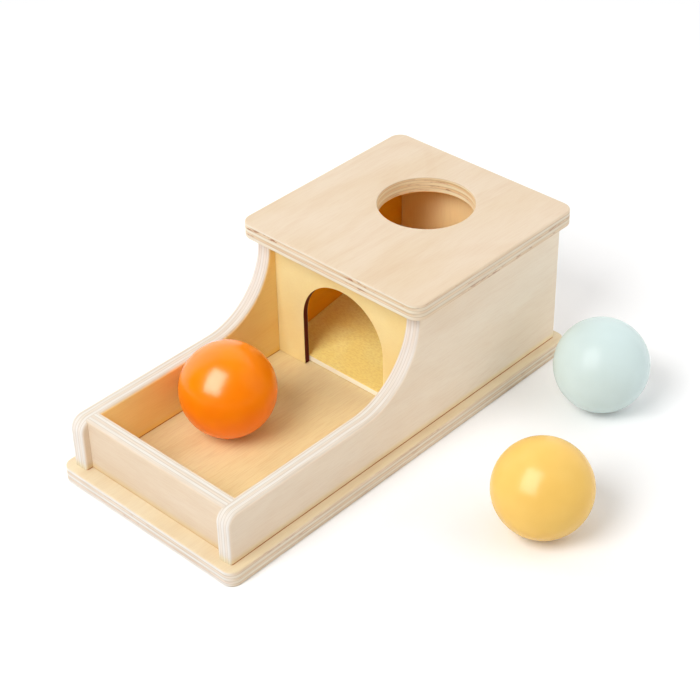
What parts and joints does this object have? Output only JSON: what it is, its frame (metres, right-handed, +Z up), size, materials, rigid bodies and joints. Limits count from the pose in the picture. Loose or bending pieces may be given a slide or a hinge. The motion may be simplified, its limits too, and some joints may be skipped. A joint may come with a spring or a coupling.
{
  "type": "toddler ball run",
  "caption": "Plywood ball run for toddlers: a ball dropped through the hole in the lid rolls down a ramp and out under an arch into a low open tray, with loose painted balls.",
  "frame": {"origin": "middle of the base plate's flat underside, on the surface that the toy stands on", "axes": "+Z up; +Y from the open tray towards the back wall; +X to the right, seen from the tray end"},
  "size_m": [0.2261, 0.254, 0.091],
  "materials": {
    "birch_plywood": "clear matt lacquer on pale plywood, layered edges showing",
    "yellow_board": "matt yellow paint on thin board, cut edges bare or browned",
    "beech_dowel": "bare",
    "orange_paint": "satin orange paint on a turned wooden ball",
    "yellow_paint": "satin yellow paint on a turned wooden ball",
    "blue_paint": "satin pale blue paint on a turned wooden ball"
  },
  "bodies": {
    "box": {"base_plate": "birch_plywood", "left_side_wall": "birch_plywood", "right_side_wall": "birch_plywood", "front_wall": "birch_plywood", "back_wall": "birch_plywood", "lid": "birch_plywood", "arch_panel": "yellow_board", "ramp_board": "yellow_board", "ramp_batten": "birch_plywood", "base_left_dowel_1": "beech_dowel", "base_left_dowel_2": "beech_dowel", "base_left_dowel_3": "beech_dowel", "base_right_dowel_1": "beech_dowel", "base_right_dowel_2": "beech_dowel", "base_right_dowel_3": "beech_dowel", "base_front_left_dowel": "beech_dowel", "base_front_right_dowel": "beech_dowel", "base_back_left_dowel": "beech_dowel", "base_back_right_dowel": "beech_dowel", "lid_left_dowel_1": "beech_dowel", "lid_left_dowel_2": "beech_dowel", "lid_right_dowel_1": "beech_dowel", "lid_right_dowel_2": "beech_dowel", "lid_back_left_dowel": "beech_dowel", "lid_back_right_dowel": "beech_dowel", "front_left_dowel": "beech_dowel", "front_right_dowel": "beech_dowel", "back_left_dowel_1": "beech_dowel", "back_left_dowel_2": "beech_dowel", "back_right_dowel_1": "beech_dowel", "back_right_dowel_2": "beech_dowel"},
    "orange": {"orange_ball": "orange_paint"},
    "yellow": {"yellow_ball": "yellow_paint"},
    "blue": {"blue_ball": "blue_paint"}
  },
  "joints": [
    {"name": "orange_roll", "type": "slide", "parent": "box", "child": "orange", "axis": [0, 1, 0], "range_m": [-0.0325, 0.0415]},
    {"name": "yellow_lift", "type": "slide", "parent": "box", "child": "yellow", "axis": [0, 0, 1], "range_m": [0, 0.12]},
    {"name": "blue_lift", "type": "slide", "parent": "box", "child": "blue", "axis": [0, 0, 1], "range_m": [0, 0.12]}
  ]
}
